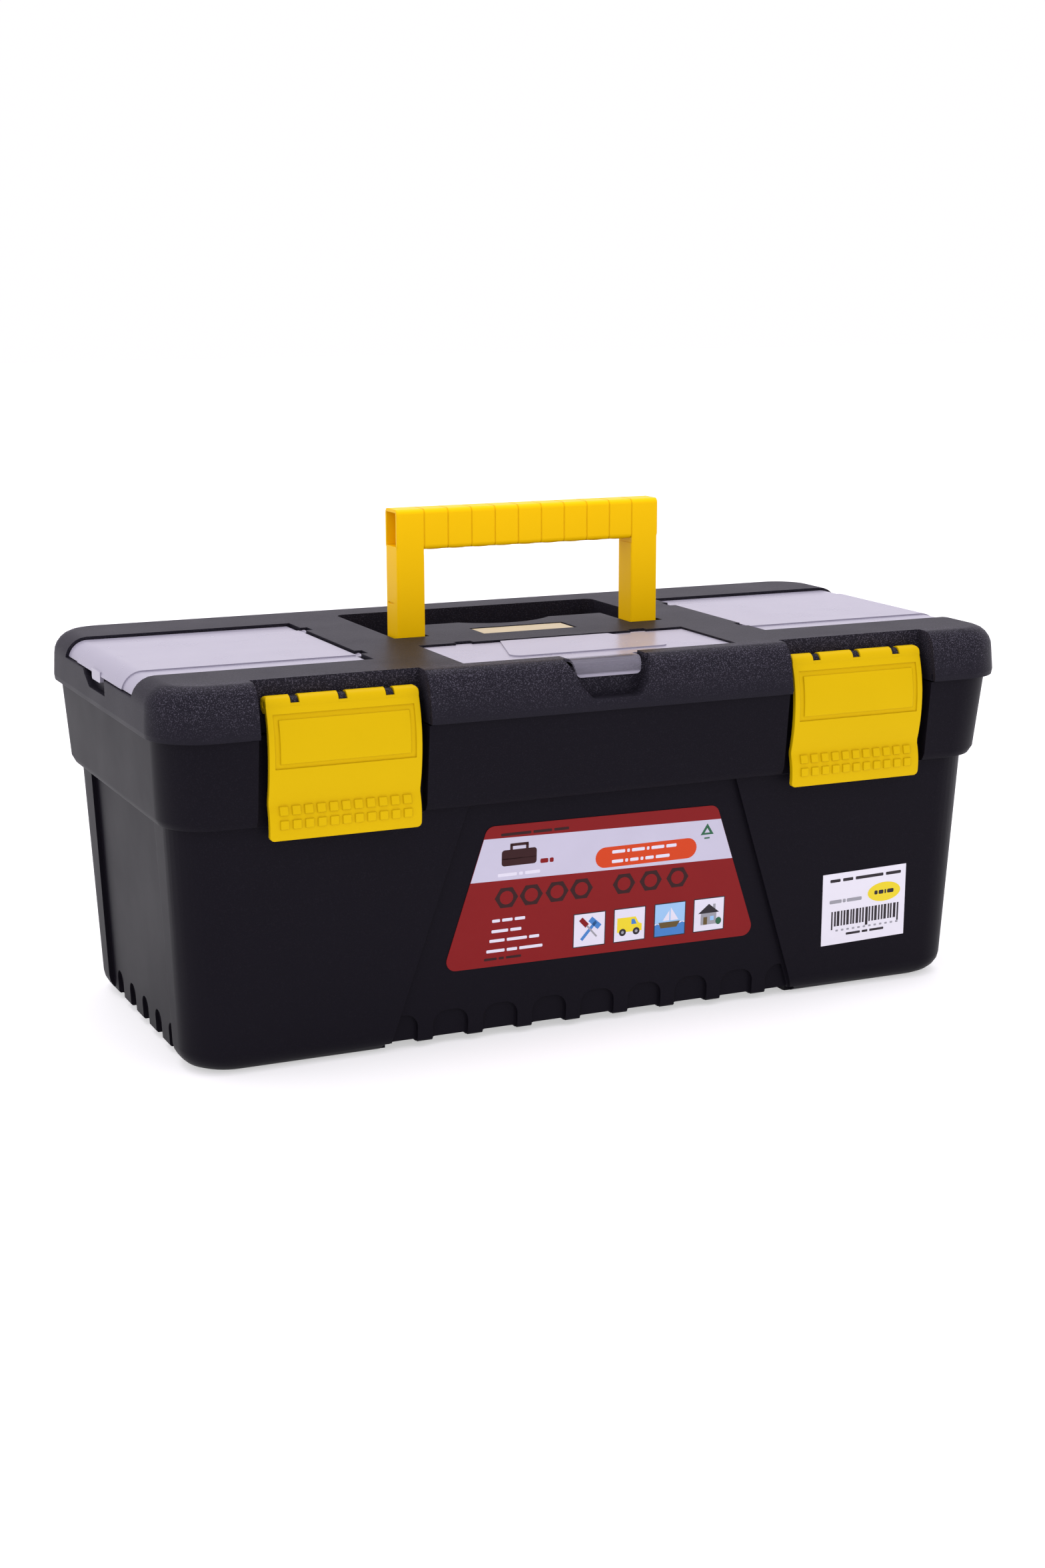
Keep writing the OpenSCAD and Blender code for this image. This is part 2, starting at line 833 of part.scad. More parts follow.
module end_cover() {
    color([0.85, 0.84, 0.9, 0.6])
        union() {
            for (s = [-1, 1])
                slab_xz(s < 0 ? -cover_half : cover_tab_at, s < 0 ? -cover_tab_at : cover_half)
                    end_cover_outline(panel_sunk, cover_t + panel_sunk);
            // middle panel, proud of the sides and rolled down with them
            slab_xz(-cover_tab_at - cover_t, cover_tab_at + cover_t)
                end_cover_outline(0, cover_t);
            // thumb tab
            slab_yz(-a_rim + 1, -a_rim + 2.5)
                translate([3.2, 142.4])
                    mirror([0, 1])
                        arch(12.5, 4.2, 1.2);
            // hinge tabs with their stub pins
            for (s = [-1, 1]) {
                block([-cover_x - 2, s * cover_tab_at - 3, cover_pin_z - 0.9],
                      [-cover_x + pivot_in, s * cover_tab_at + 3, cover_pin_z + 0.9]);
                bar_y(-cover_x + pivot_in, s * cover_tab_at - 5, s * cover_tab_at + 5,
                      cover_pin_z, cover_pin_r);
            }
        }
}

module end_cover_left() {
    end_cover();
}

module end_cover_right() {
    mirror([1, 0, 0])
        end_cover();
}

module centre_cover() {
    color([0.85, 0.84, 0.9, 0.6])
        union() {
            block([-mid_half, mid_front, cover_top - cover_t], [mid_half, mid_back - cover_gap, cover_top]);
            // raised middle panel that reaches the hinge edge
            intersection() {
                translate([0, 0, cover_top - 0.5])
                    linear_extrude(1)
                        offset(r = 4)
                            offset(delta = -4)
                                polygon([[-20.5, mid_back + 8], [20.5, mid_back + 8],
                                         [34.5, mid_front + 8], [-34.5, mid_front + 8]]);
                block([-mid_half, mid_front, cover_top - 1], [mid_half, mid_back - cover_gap, cover_top + 1]);
            }
            // thumb tab that hangs over the front edge
            intersection() {
                slab_yz(-18, 14)
                    polygon(concat(
                        [[mid_front + 1, cover_top]],
                        [for (t = [0:15:90]) [-b_rim + 9.4 - 3.4 * sin(t), cover_top - 3.4 * (1 - cos(t))]],
                        [[-b_rim + 6, 140.6], [-b_rim + 7.2, 140.6]],
                        [for (t = [90:-15:0]) [-b_rim + 9.4 - 2.2 * sin(t), cover_top - 3.4 + 2.2 * cos(t)]],
                        [[mid_front + 1, cover_top - 1.2]]
                    ));
                slab_xz(-b_rim, -60)
                    offset(r = 2)
                        offset(delta = -2)
                            polygon([[-14.4, 140.6], [12, 140.6], [12.9, 153], [-18, 153]]);
            }
            for (s = [-1, 1]) {
                block([s * mid_tab_at - 3, mid_back - 2, cover_pin_z - 0.9],
                      [s * mid_tab_at + 3, mid_back + pivot_in, cover_pin_z + 0.9]);
                bar_x(s * mid_tab_at - 5, s * mid_tab_at + 5, mid_back + pivot_in, cover_pin_z, cover_pin_r);
            }
        }
}

// ---------- tray ----------

module tray_body() {
    mid_z = (tray_bottom + tray_top) / 2;
    color([0.16, 0.155, 0.17])
        difference() {
            union() {
                difference() {
                    union() {
                        translate([0, 0, tray_bottom])
                            linear_extrude(tray_top - tray_bottom)
                                rrect(tray_low_a, tray_low_b, 12);
                        translate([0, 0, ledge_z + 0.3])
                            linear_extrude(tray_top - ledge_z - 0.3)
                                rrect(tray_ledge_a, tray_ledge_b, 14);
                    }
                    translate([0, 0, tray_bottom + tray_wall])
                        linear_extrude(tray_top)
                            rrect(tray_low_a - tray_wall, tray_low_b - tray_wall, 10.4);
                    translate([0, 0, ledge_z + 0.3 + tray_wall])
                        linear_extrude(tray_top)
                            rrect(tray_ledge_a - tray_wall, tray_ledge_b - tray_wall, 12.4);
                }
                // spine between the long front compartment and the rear ones
                block([-tray_low_a + 1, spine_y - 0.9, tray_bottom + 0.5],
                      [tray_low_a - 1, spine_y + 0.9, tray_top - 2]);
                block([-tray_ledge_a + 1, spine_y - 0.9, ledge_z + 1],
                      [tray_ledge_a - 1, spine_y + 0.9, tray_top - 2]);
                // carrying bar over the spine
                slab_xz(spine_y - 4.5, spine_y + 4.5)
                    polygon([[-56, tray_bottom + 1], [56, tray_bottom + 1], [50, 125.5], [-50, 125.5]]);
                // slots that hold the loose dividers
                for (s = [-1, 1], e = [-1, 1])
                    for (y = [spine_y + 2, tray_low_b - tray_wall - 1])
                        block([s * divider_x + e * 2.2 - 1, y - 1.6, tray_bottom + 1],
                              [s * divider_x + e * 2.2 + 1, y + 1.6, tray_top - 6]);
            }
            slab_xz(spine_y - 6, spine_y + 6)
                polygon([[-44, 101], [44, 101], [41, 118.5], [-41, 118.5]]);
        }
}

module tray_divider(s) {
    color([0.16, 0.155, 0.17])
        block([s * divider_x - 0.8, spine_y + 1.2, tray_bottom + tray_wall + 0.2],
              [s * divider_x + 0.8, tray_low_b - tray_wall - 0.3, tray_top - 4]);
}

module tray_divider_left() {
    tray_divider(-1);
}

module tray_divider_right() {
    tray_divider(1);
}

// ---------- labels ----------

module front_label() {
    color([0.55, 0.12, 0.14])
        on_front()
            slab_xz(panel_depth - 0.27, panel_depth - 0.02)
                offset(r = label_corner)
                    offset(delta = -label_corner)
                        polygon([[-66, 28.9], [69.5, 27.9], [50, 84], [-48.4, 85]]);
}

module price_sticker() {
    color("white")
        on_front()
            slab_xz(-0.27, -0.02)
                translate([100.1, 19.5])
                    rotate(1.4)
                        square([39.4, 30.5]);
}

module name_plate() {
    color([0.93, 0.86, 0.5])
        block([plate_x - 19.8, plate_y - 7, top_z - 1.08], [plate_x + 19.8, plate_y + 7, top_z - 0.25]);
}

base_tub();
lid_shell();
carry_handle();
handle_pin_left();
handle_pin_right();
latch_left();
latch_right();
latch_pin_left();
latch_pin_right();
hinge_pin_left();
hinge_pin_right();
end_cover_left();
end_cover_right();
centre_cover();
tray_body();
tray_divider_left();
tray_divider_right();
front_label();
price_sticker();
name_plate();
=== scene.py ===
"""Looks of the toolbox: camera, light, materials, welded skins of the CAD nodes, and printed artwork."""

import json
import math

import bmesh
import bpy
from mathutils import Matrix, Vector


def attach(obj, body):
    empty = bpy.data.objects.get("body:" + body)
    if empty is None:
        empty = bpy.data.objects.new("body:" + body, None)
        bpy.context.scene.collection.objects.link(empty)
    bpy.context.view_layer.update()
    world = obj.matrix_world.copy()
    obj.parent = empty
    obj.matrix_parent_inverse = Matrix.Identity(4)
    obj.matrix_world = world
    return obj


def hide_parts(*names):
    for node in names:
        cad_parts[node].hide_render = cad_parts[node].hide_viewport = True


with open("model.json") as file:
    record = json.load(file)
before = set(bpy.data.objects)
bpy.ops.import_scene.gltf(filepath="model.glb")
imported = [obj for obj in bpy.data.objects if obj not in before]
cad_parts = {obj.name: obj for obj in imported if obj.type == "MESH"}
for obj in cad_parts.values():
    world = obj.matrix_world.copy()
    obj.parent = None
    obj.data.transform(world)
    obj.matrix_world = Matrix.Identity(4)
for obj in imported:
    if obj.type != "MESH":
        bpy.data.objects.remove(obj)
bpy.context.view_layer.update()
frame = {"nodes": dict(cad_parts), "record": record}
NODES = frame["nodes"]
MM = 0.001

# The photograph's camera, solved from the box's straight edges
CAMERA_AT = (-395.08, -883.53, 295.76)  # mm
CAMERA_YAW, CAMERA_PITCH, CAMERA_ROLL = 24.03, 12.435, -0.17  # degrees
CAMERA_LENS, CAMERA_SENSOR = 55.1, 36  # mm

FLOOR_GAP = 0.0003  # m between the feet and the floor, so that the two don't share a plane


# ---------- camera, light, floor ----------

def make_camera():
    yaw, pitch, roll = map(math.radians, (CAMERA_YAW, CAMERA_PITCH, CAMERA_ROLL))
    look = Vector((math.sin(yaw) * math.cos(pitch), math.cos(yaw) * math.cos(pitch), -math.sin(pitch)))
    right = Vector((math.cos(yaw), -math.sin(yaw), 0))
    up = right.cross(look)
    right, up = (right * math.cos(roll) + up * math.sin(roll),
                 up * math.cos(roll) - right * math.sin(roll))
    data = bpy.data.cameras.new("camera")
    data.lens = CAMERA_LENS
    data.sensor_width = CAMERA_SENSOR
    data.clip_start, data.clip_end = 0.05, 20
    cam = bpy.data.objects.new("camera", data)
    m = Matrix((right, up, -look)).transposed().to_4x4()
    m.translation = Vector(CAMERA_AT) * MM
    cam.matrix_world = m
    bpy.context.scene.collection.objects.link(cam)
    bpy.context.scene.camera = cam


def area_light(name, place, aim, size, power):
    data = bpy.data.lights.new(name, "AREA")
    data.shape = "RECTANGLE"
    data.size, data.size_y = size
    data.energy = power
    lamp = bpy.data.objects.new(name, data)
    lamp.location = place
    lamp.rotation_euler = (Vector(aim) - Vector(place)).to_track_quat("-Z", "Y").to_euler()
    bpy.context.scene.collection.objects.link(lamp)


def make_world():
    """Even, faintly violet-white surroundings, as in a light tent."""
    world = bpy.data.worlds.new("studio")
    bpy.context.scene.world = world
    world.use_nodes = True
    back = world.node_tree.nodes["Background"]
    back.inputs["Color"].default_value = (1.0, 0.95, 1.05, 1)
    back.inputs["Strength"].default_value = 1.05
    bpy.context.scene.view_settings.view_transform = "Standard"


def make_floor():
    bm = bmesh.new()
    bmesh.ops.create_grid(bm, x_segments=1, y_segments=1, size=6)
    me = bpy.data.meshes.new("floor")
    bm.to_mesh(me)
    ob = bpy.data.objects.new("floor", me)
    ob.location = (0, 0, -FLOOR_GAP)
    bpy.context.scene.collection.objects.link(ob)
    ob.data.materials.append(pale_floor())


# ---------- node helpers ----------

class Mat:
    """A node material with short ways to add nodes and join them."""

    def __init__(self, name):
        self.mat = bpy.data.materials.new(name)
        self.mat.use_nodes = True
        self.tree = self.mat.node_tree
        self.shader = self.tree.nodes["Principled BSDF"]
        self.coord = self.add("ShaderNodeTexCoord").outputs["Object"]

    def add(self, kind, **settings):
        n = self.tree.nodes.new(kind)
        for k, v in settings.items():
            setattr(n, k, v)
        return n

    def put(self, socket, value):
        if isinstance(value, bpy.types.NodeSocket):
            self.tree.links.new(value, socket)
        else:
            socket.default_value = value

    def set(self, **values):
        """Sets or links inputs of the shader, named with _ in place of spaces."""
        for k, v in values.items():
            self.put(self.shader.inputs[k.replace("_", " ")], v)

    def noise(self, scale, detail=3.0, rough=0.5):
        n = self.add("ShaderNodeTexNoise")
        n.inputs["Scale"].default_value = scale
        n.inputs["Detail"].default_value = detail
        n.inputs["Roughness"].default_value = rough
        self.put(n.inputs["Vector"], self.coord)
        return n.outputs["Fac"]

    def ramp(self, fac, lo, hi, low, high):
        """Goes from low to high while fac goes from lo to hi."""
        n = self.add("ShaderNodeMapRange")
        self.put(n.inputs["Value"], fac)
        n.inputs["From Min"].default_value = lo
        n.inputs["From Max"].default_value = hi
        self.put(n.inputs["To Min"], low)
        self.put(n.inputs["To Max"], high)
        return n.outputs["Result"]

    def math(self, op, a, b):
        n = self.add("ShaderNodeMath", operation=op)
        self.put(n.inputs[0], a)
        self.put(n.inputs[1], b)
        return n.outputs[0]

    def mix(self, fac, a, b):
        """Colour a where fac is 0, colour b where it is 1."""
        n = self.add("ShaderNodeMix", data_type="RGBA")
        factor, colour_a, colour_b = n.inputs[0], n.inputs[6], n.inputs[7]
        self.put(factor, fac)
        self.put(colour_a, a)
        self.put(colour_b, b)
        return n.outputs[2]

    def xyz(self):
        """The surface point's place in the shared frame, in metres."""
        n = self.add("ShaderNodeSeparateXYZ")
        self.put(n.inputs[0], self.coord)
        return n.outputs

    def bump(self, height, strength, distance, normal=None):
        n = self.add("ShaderNodeBump")
        n.inputs["Strength"].default_value = strength
        n.inputs["Distance"].default_value = distance
        self.put(n.inputs["Height"], height)
        if normal is not None:
            self.put(n.inputs["Normal"], normal)
        return n.outputs["Normal"]

    def rounded(self, radius):
        """Normals as if every edge were rounded to that radius."""
        n = self.add("ShaderNodeBevel", samples=6)
        n.inputs["Radius"].default_value = radius
        return n.outputs["Normal"]


def pale_floor():
    m = Mat("floor")
    tone = m.ramp(m.noise(2.0), 0.3, 0.7, 0.0, 1.0)
    m.set(Base_Color=m.mix(tone, (0.64, 0.64, 0.64, 1), (0.66, 0.66, 0.66, 1)), Roughness=0.75,
          Emission_Color=(1, 1, 1, 1), Emission_Strength=0.5, Specular_IOR_Level=0.1)
    return m.mat


# Heights and depths in metres between which the painted highlight on the lid's front edge fades (LID_*)
# and the covers' see-through changes (TAB_*, LIP_*)
LID_LOW, LID_HIGH = 0.129, 0.146
LID_FRONT, LID_TOP = -0.077, -0.068
TAB_HANGS, TAB_LIES = -0.0775, -0.0735
LIP_LOW, LIP_HIGH = 0.1414, 0.1422


def black_plastic(name, low, high, grain, gloss, painted_glint_low, painted_glint_high):
    """Satin dark plastic with a spark-eroded grain, strewn with lighter specks that are painted glints; a
    painted highlight makes them strongest along the lid's front edge.
    """
    m = Mat(name)
    spark = m.noise(2300, 2, 0.55)
    _, y, z = m.xyz()
    # Painted highlight: the glints grow stronger towards the top of the lid's front and weaker back from
    # its front face
    painted_highlight_mask = m.math("MULTIPLY", m.ramp(z, LID_LOW, LID_HIGH, painted_glint_low, painted_glint_high),
                     m.ramp(y, LID_FRONT, LID_TOP, 1.0, 0.3))
    painted_glints = m.math("MULTIPLY", m.ramp(spark, 0.52, 0.8, 0.0, 1.0), painted_highlight_mask)
    skin = m.mix(m.noise(14, 3, 0.6), low, high)
    height = m.math("ADD", m.math("MULTIPLY", spark, grain), m.math("MULTIPLY", m.noise(420, 3), 0.1))
    # The lighter colour mixed in by the glint mask is painted glint
    m.set(Base_Color=m.mix(painted_glints, skin, (0.075, 0.07, 0.09, 1)),
          Roughness=m.ramp(m.noise(40, 4), 0.3, 0.7, 0.42, 0.46),
          Normal=m.bump(height, 0.5, 0.0001, m.rounded(0.0004)),
          Specular_IOR_Level=gloss, Specular_Tint=(1.0, 0.93, 1.05, 1))
    return m.mat


def yellow_plastic(name, low, high):
    m = Mat(name)
    m.set(Base_Color=m.mix(m.noise(20, 3, 0.6), low, high),
          Roughness=m.ramp(m.noise(60, 4), 0.3, 0.7, 0.34, 0.42),
          Normal=m.bump(m.noise(500, 2), 0.05, 0.0001, m.rounded(0.0005)),
          Specular_IOR_Level=0.05)
    return m.mat


def clear_plastic():
    """Milky plastic: the dark lid shows through the hanging thumb tab, but not through its thick lip."""
    m = Mat("clear_plastic")
    cloud = m.noise(30, 3, 0.6)
    _, y, z = m.xyz()
    alpha = m.math("MAXIMUM", m.ramp(y, TAB_HANGS, TAB_LIES, 0.3, 1.0),
                   m.ramp(z, LIP_LOW, LIP_HIGH, 0.95, 0.0))
    m.set(Base_Color=m.mix(cloud, (0.315, 0.30, 0.365, 1), (0.335, 0.32, 0.385, 1)),
          Roughness=m.ramp(m.noise(80, 4), 0.3, 0.7, 0.24, 0.28),
          Alpha=alpha, Specular_IOR_Level=0.25)
    return m.mat


def steel():
    m = Mat("steel")
    n = m.noise(900, 2)
    m.set(Base_Color=m.mix(n, (0.5, 0.5, 0.52, 1), (0.62, 0.62, 0.64, 1)),
          Roughness=m.ramp(n, 0.3, 0.7, 0.25, 0.4), Metallic=1.0)
    return m.mat


def tray_plastic():
    m = Mat("tray_plastic")
    m.set(Base_Color=m.mix(m.noise(18), (0.016, 0.016, 0.019, 1), (0.024, 0.024, 0.027, 1)),
          Roughness=m.ramp(m.noise(60, 4), 0.3, 0.7, 0.4, 0.5),
          Normal=m.bump(m.noise(1200, 2), 0.12, 0.0001, m.rounded(0.0006)))
    return m.mat


def coated_paper(name, low, high):
    m = Mat(name)
    m.set(Base_Color=m.mix(m.noise(60, 4), low, high),
          Roughness=m.ramp(m.noise(200, 3), 0.3, 0.7, 0.32, 0.4),
          Normal=m.bump(m.noise(400, 2), 0.05, 0.0001),
          Specular_IOR_Level=0.12)
    return m.mat


# ---------- pieces made from the CAD nodes ----------

WELD = 4e-6  # m; points nearer than this become one
FLAT, SHARP = math.radians(0.3), math.radians(33)  # flatter bends are merged, sharper ones keep a crease


def smoothed(node, body, material):
    """The node's own shape as one welded mesh: curved skins shade smooth, real edges stay sharp."""
    bm = bmesh.new()
    bm.from_mesh(NODES[node].data)
    bmesh.ops.remove_doubles(bm, verts=bm.verts, dist=WELD)
    bmesh.ops.dissolve_limit(bm, angle_limit=FLAT, verts=bm.verts, edges=bm.edges, delimit=set())
    for f in bm.faces:
        f.smooth = True
    for e in bm.edges:
        e.smooth = len(e.link_faces) == 2 and e.calc_face_angle() < SHARP
    me = bpy.data.meshes.new(node + "_skin")
    bm.to_mesh(me)
    bm.free()
    ob = bpy.data.objects.new(node + "_skin", me)
    bpy.context.scene.collection.objects.link(ob)
    me.materials.append(material)
    even = ob.modifiers.new("even_normals", "WEIGHTED_NORMAL")
    even.keep_sharp = True
    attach(ob, body)
    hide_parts(node)


# ---------- prints on the label and the sticker ----------

# The front wall leans outwards: FOOT_DEPTH is its depth at the foot in mm, FRONT_TILT its lean in degrees.
# Artwork is drawn in mm in that wall's own plane, x to the right and z up along the wall.
FOOT_DEPTH, FRONT_TILT = 70.5, 3.296
ON_FRONT = (Matrix.Translation((0, -FOOT_DEPTH * MM, 0))
            @ Matrix.Rotation(math.radians(FRONT_TILT), 4, "X"))


def rect(x0, z0, x1, z1):
    return [(x0, z0), (x1, z0), (x1, z1), (x0, z1)]


def pill(x0, z0, x1, z1, r=None):
    """A rectangle with corners of radius r, or with half-round ends when r isn't given."""
    r = (z1 - z0) / 2 if r is None else r
    corners = ((x1 - r, z0 + r, -90), (x1 - r, z1 - r, 0), (x0 + r, z1 - r, 90), (x0 + r, z0 + r, 180))
    out = []
    for cx, cz, start in corners:
        for k in range(7):
            t = math.radians(start + 15 * k)
            out.append((cx + r * math.cos(t), cz + r * math.sin(t)))
    return out


def oval(cx, cz, rx, rz, n=40):
    turns = [math.tau * k / n for k in range(n)]
    return [(cx + rx * math.cos(t), cz + rz * math.sin(t)) for t in turns]


def stroke(x0, z0, x1, z1, w):
    """A straight line of width w."""
    dx, dz = x1 - x0, z1 - z0
    k = w / 2 / math.hypot(dx, dz)
    return [(x0 + dz * k, z0 - dx * k), (x1 + dz * k, z1 - dx * k),
            (x1 - dz * k, z1 + dx * k), (x0 - dz * k, z0 + dx * k)]


def words(x0, x1, z, h, lengths, space=0.9):
    """A line of plain bars that stands in for small print, stretched to run from x0 to x1."""
    k = (x1 - x0 - space * (len(lengths) - 1)) / sum(lengths)
    out, x = [], x0
    for n in lengths:
        out.append(pill(x, z - h / 2, x + n * k, z + h / 2, min(h, n * k) * 0.3))
        x += n * k + space
    return out


# How far a print stands proud of its paper, one layer over the next, and how deep it roots in it, in mm
INK_PROUD, LAYER_STEP, INK_ROOT = 0.03, 0.02, 0.05


def print_layer(name, place, outlines, surface, layer, material):
    """Thin printed shapes on a surface at that local depth; a higher layer lies over a lower one."""
    bm = bmesh.new()
    front = (surface - INK_PROUD - LAYER_STEP * layer) * MM
    back = (surface + INK_ROOT) * MM
    for line in outlines:
        near = [bm.verts.new((x * MM, front, z * MM)) for x, z in line]
        far = [bm.verts.new((x * MM, back, z * MM)) for x, z in line]
        bm.faces.new(near)
        bm.faces.new(far[::-1])
        for i in range(len(line)):
            j = (i + 1) % len(line)
            bm.faces.new((near[j], near[i], far[i], far[j]))
    bmesh.ops.recalc_face_normals(bm, faces=bm.faces)
    me = bpy.data.meshes.new(name)
    bm.to_mesh(me)
    bm.free()
    ob = bpy.data.objects.new(name, me)
    ob.matrix_world = place
    bpy.context.scene.collection.objects.link(ob)
    me.materials.append(material)
    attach(ob, "base")


def moved(outline, dx, dz):
    return [(x + dx, z + dz) for x, z in outline]


LABEL_TOP = 1.73  # local depth of the label's face, mm
STICKER_TOP = -0.27  # local depth of the sticker's face, mm
PICTOS = (-11.1, 6.4, 24.2, 41.7)  # left edges of the four pictures
PICTO_Z, PICTO, PICTO_FRAME = 32.3, 13.2, 0.4  # their lower edge, side and frame
NUTS = (-40.1, -29.7, -18.8, -8.4, 10.0, 21.7, 33.5)  # middles of the hexagon nuts
NUT_Z = 56.0

# Every entry is keyed by (layer, ink)
label_art = {
    (0, "pale"): [[(-55.1, 63.3), (57.8, 61.4), (51.95, 78.2), (-49.85, 80.1)]],
    (0, "dark"): [pill(x - PICTO_FRAME, PICTO_Z - PICTO_FRAME,
                       x + PICTO + PICTO_FRAME, PICTO_Z + PICTO + PICTO_FRAME, PICTO_FRAME)
                  for x in PICTOS],
    (0, "deep"): ([oval(x, NUT_Z, 4.9, 4.6, 6) for x in NUTS]
                  + words(-42.8, -14.4, 81.2, 1.1, (8, 5, 4))
                  + words(-49, -33.5, 31.8, 1.0, (5, 2, 6))),
    (0, "white"): (words(-45.9, -32.1, 47.1, 1.2, (3, 4, 4))
                   + words(-46.1, -33.6, 42.9, 1.2, (6, 4))
                   + words(-46.9, -26.0, 39.1, 1.2, (6, 8, 4))
                   + words(-48.1, -24.5, 35.0, 1.2, (7, 4, 9))),
    (1, "white"): ([rect(x, PICTO_Z, x + PICTO, PICTO_Z + PICTO) for x in PICTOS]
                   + words(-43.9, -26.2, 65.2, 1.3, (5, 1, 4))),
    (1, "orange"): [pill(-2.7, 63.4, 41.5, 71.7)],
    (1, "deep"): [pill(-42.4, 68.6, -27.8, 75.0, 1.2), rect(-42.4, 71.2, -27.8, 71.6)],
    (1, "red"): ([oval(x, NUT_Z, 2.8, 2.7, 28) for x in NUTS]
                 + words(-26.2, -20.6, 69.2, 1.8, (4, 2), 0.6)),
    (1, "green"): [[(46.0, 76.9), (43.1, 72.3), (48.9, 72.3)], rect(44.8, 70.6, 47.2, 71.2)],
    (2, "pale"): [[(46.0, 75.0), (44.8, 73.1), (47.2, 73.1)]],
    (2, "white"): (words(4.4, 32.5, 69.5, 1.3, (5, 1, 5, 1, 5, 4))
                   + words(4.4, 29.6, 65.6, 1.3, (4, 1, 3, 1, 3, 5))),
    (2, "deep"): [stroke(-38.4, 74.6, -38.4, 77.0, 1.1),
                  stroke(-31.8, 74.6, -31.8, 77.0, 1.1),
                  stroke(-38.9, 76.9, -31.3, 76.9, 1.1)],
}


def picto_tools(x, z):
    """A hammer crossed with a screwdriver."""
    return {
        (2, "blue"): [moved(stroke(3.2, 2.6, 9.4, 9.6, 1.3), x, z),
                      moved(stroke(6.9, 10.9, 11.0, 7.2, 2.4), x, z)],
        (3, "grey"): [moved(stroke(9.8, 3.4, 5.4, 8.4, 0.7), x, z)],
        (3, "red"): [moved(stroke(5.6, 8.2, 2.8, 11.2, 2.0), x, z)],
    }


def picto_van(x, z):
    """A plain delivery van from the side."""
    body = [(1.2, 3.6), (12, 3.6), (12, 6.4), (10.6, 7.0), (9.2, 9.6), (1.2, 9.6)]
    pane = [(7.4, 6.6), (9.7, 6.6), (8.7, 8.7), (7.4, 8.7)]
    return {
        (2, "yellow"): [moved(body, x, z)],
        (3, "blue"): [moved(pane, x, z)],
        (3, "dark"): [oval(x + c, z + 3.6, 1.5, 1.5) for c in (3.6, 9.6)],
        (4, "grey"): [oval(x + c, z + 3.6, 0.6, 0.6) for c in (3.6, 9.6)],
    }


def picto_boat(x, z):
    """A small sailing boat on water."""
    waves = [(PICTO - k * PICTO / 12, 4.6 + (0.5 if k % 2 else 0)) for k in range(1, 12)]
    sea = [(0, 0), (PICTO, 0), (PICTO, 4.6)] + waves + [(0, 4.6)]
    return {
        (2, "blue"): [moved(sea, x, z)],
        (2, "sky"): [moved(rect(0, 5.3, PICTO, PICTO), x, z)],
        (3, "brown"): [moved([(2.6, 3.2), (9.6, 3.2), (11.2, 5.6), (1.6, 5.6)], x, z)],
        (3, "white"): [moved([(6.9, 6.2), (10.4, 6.2), (6.9, 11.6)], x, z),
                       moved([(6.3, 6.2), (3.4, 6.2), (6.3, 10.4)], x, z)],
    }


def picto_house(x, z):
    """A plain house with a bush beside it."""
    return {
        (2, "grey"): [moved(rect(3.0, 2.4, 10.0, 7.4), x, z), moved(rect(8.4, 8.0, 9.5, 10.8), x, z)],
        (3, "dark"): [moved([(1.8, 7.2), (11.2, 7.2), (6.5, 11.0)], x, z)],
        (3, "brown"): [moved(rect(4.2, 2.4, 5.9, 5.6), x, z)],
        (3, "sky"): [moved(rect(7.2, 4.0, 8.9, 5.8), x, z)],
        (4, "green"): [oval(x + 11.0, z + 3.5, 1.3, 1.5)],
    }


for draw, x in zip((picto_tools, picto_van, picto_boat, picto_house), PICTOS):
    for key, outlines in draw(x, PICTO_Z).items():
        label_art.setdefault(key, []).extend(outlines)

# The sticker's artwork is drawn from its own lower left corner
STICKER_AT, STICKER_TURN = (100.1, 19.5), 1.4
ON_STICKER = (ON_FRONT @ Matrix.Translation((STICKER_AT[0] * MM, 0, STICKER_AT[1] * MM))
              @ Matrix.Rotation(math.radians(-STICKER_TURN), 4, "Y"))


def plain_bars(count=22, start=4.4, low=7.8, guard_low=6.4, high=14.2):
    """Bars of varied widths that encode nothing; the first, middle and last reach lower."""
    bars, x = [], start
    for k in range(count):
        wide = 0.35 + 0.85 * abs(math.sin(2.1 * k + 0.4))
        foot = guard_low if k in (0, count // 2, count - 1) else low
        bars.append(rect(x, foot, x + wide, high))
        x += wide + 0.35 + 0.35 * abs(math.cos(1.3 * k))
    return bars


sticker_art = {
    (0, "dark"): (words(3.4, 37.0, 27.4, 1.3, (4, 4, 11, 6), 1.2) + plain_bars()
                  + words(11.6, 29.6, 3.9, 1.0, (5, 2, 5))),
    (0, "grey"): (words(3.4, 18.6, 18.4, 1.5, (4, 1, 5), 0.5)
                  + words(6.6, 36.4, 5.9, 0.8, (1,) * 12, 1.4)),
    (0, "yellow"): [oval(29.2, 19.8, 7.8, 4.1)],
    (1, "dark"): words(24.6, 33.8, 19.8, 1.7, (2, 3, 1, 4), 0.5),
}

# ---------- the scene ----------

make_camera()
make_world()
make_floor()
area_light("top", place=(0.0, 0.25, 1.5), aim=(0, 0, 0.1), size=(1.6, 1.2), power=10)
area_light("left", place=(-1.5, -0.1, 0.7), aim=(0, 0, 0.1), size=(1.0, 1.2), power=0.8)
area_light("front", place=(0.2, -1.8, 0.9), aim=(0, 0, 0.15), size=(1.4, 1.0), power=1.5)

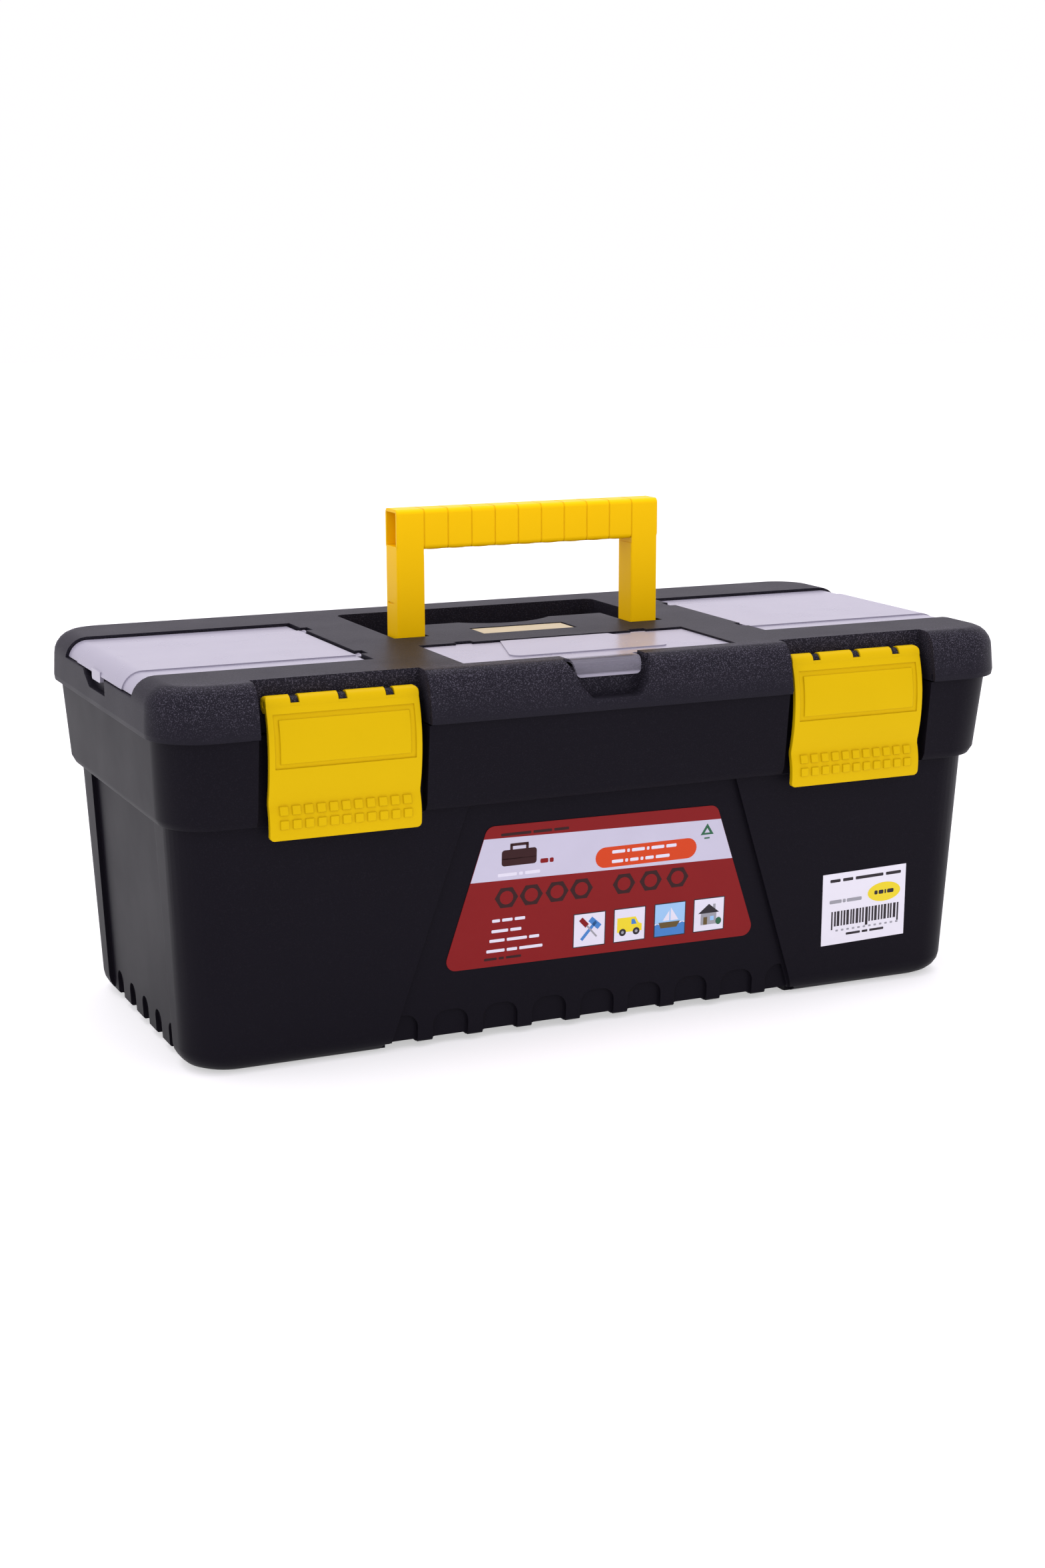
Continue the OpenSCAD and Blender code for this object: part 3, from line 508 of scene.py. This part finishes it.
MATERIALS = {
    "black_plastic": black_plastic(
        "black_plastic", (0.0052, 0.0046, 0.0072, 1), (0.0064, 0.0056, 0.0086, 1),
        grain=0.1, gloss=0.047, painted_glint_low=0.1, painted_glint_high=0.1),
    "yellow_plastic": yellow_plastic(
        "yellow_plastic", (0.615, 0.405, 0.0005, 1), (0.665, 0.435, 0.001, 1)),
    "clear_plastic": clear_plastic(),
    "steel_pin": steel(),
    "tray_plastic": tray_plastic(),
    "printed_label": coated_paper("label_red", (0.195, 0.0075, 0.0085, 1), (0.215, 0.009, 0.010, 1)),
    "sticker": coated_paper("sticker", (0.70, 0.685, 0.745, 1), (0.74, 0.725, 0.785, 1)),
    "plate": coated_paper("plate", (0.56, 0.465, 0.26, 1), (0.60, 0.50, 0.29, 1)),
}
SLOT = {s["node"]: s["material_slot"] for s in frame["record"]["subparts"]}
BODY = {n: b for b, ns in frame["record"]["behaviour"]["bodies"].items() for n in ns}

INK_COLOURS = {
    "pale": (0.52, 0.50, 0.61), "white": (0.68, 0.66, 0.75),
    "dark": (0.03, 0.025, 0.03), "deep": (0.035, 0.011, 0.012),
    "red": (0.205, 0.008, 0.0095), "orange": (0.58, 0.055, 0.012),
    "green": (0.03, 0.12, 0.06), "blue": (0.06, 0.2, 0.5),
    "sky": (0.3, 0.5, 0.75), "yellow": (0.75, 0.6, 0.03),
    "grey": (0.3, 0.3, 0.33), "brown": (0.12, 0.08, 0.03),
}
MOTTLE = 0.05  # an ink varies by this share of its colour, to both sides
INK = {name: coated_paper("ink_" + name,
                          (*[c * (1 - MOTTLE) for c in colour], 1),
                          (*[c * (1 + MOTTLE) for c in colour], 1))
       for name, colour in INK_COLOURS.items()}

# The lid's coarser skin with its painted highlight along the front edge, and the handle's warmer yellow
# painted lighter than the latches', differ from their slots' usual look
OWN_LOOK_AND_PAINTED_LIGHT = {
    "lid_shell": black_plastic(
        "lid_plastic_painted_highlight", (0.0105, 0.0098, 0.0142, 1), (0.0135, 0.0125, 0.0178, 1),
        # painted highlight: glints rise from 0.1 at the lid's split to 2.3 at its top front edge
        grain=0.8, gloss=0.056, painted_glint_low=0.1, painted_glint_high=2.3),
    # painted light: the handle's yellow is set far lighter than the latches' to make up for the light it
    # gets less of
    "carry_handle": yellow_plastic(
        "handle_plastic_painted_light", (0.93, 0.55, 0.0005, 1), (0.97, 0.58, 0.001, 1)),
}
for node in sorted(NODES):
    smoothed(node, BODY[node], OWN_LOOK_AND_PAINTED_LIGHT.get(node, MATERIALS[SLOT[node]]))
for (layer, ink), outlines in sorted(label_art.items()):
    print_layer(f"label_{ink}_{layer}", ON_FRONT, outlines, LABEL_TOP, layer, INK[ink])
for (layer, ink), outlines in sorted(sticker_art.items()):
    print_layer(f"sticker_{ink}_{layer}", ON_STICKER, outlines, STICKER_TOP, layer, INK[ink])
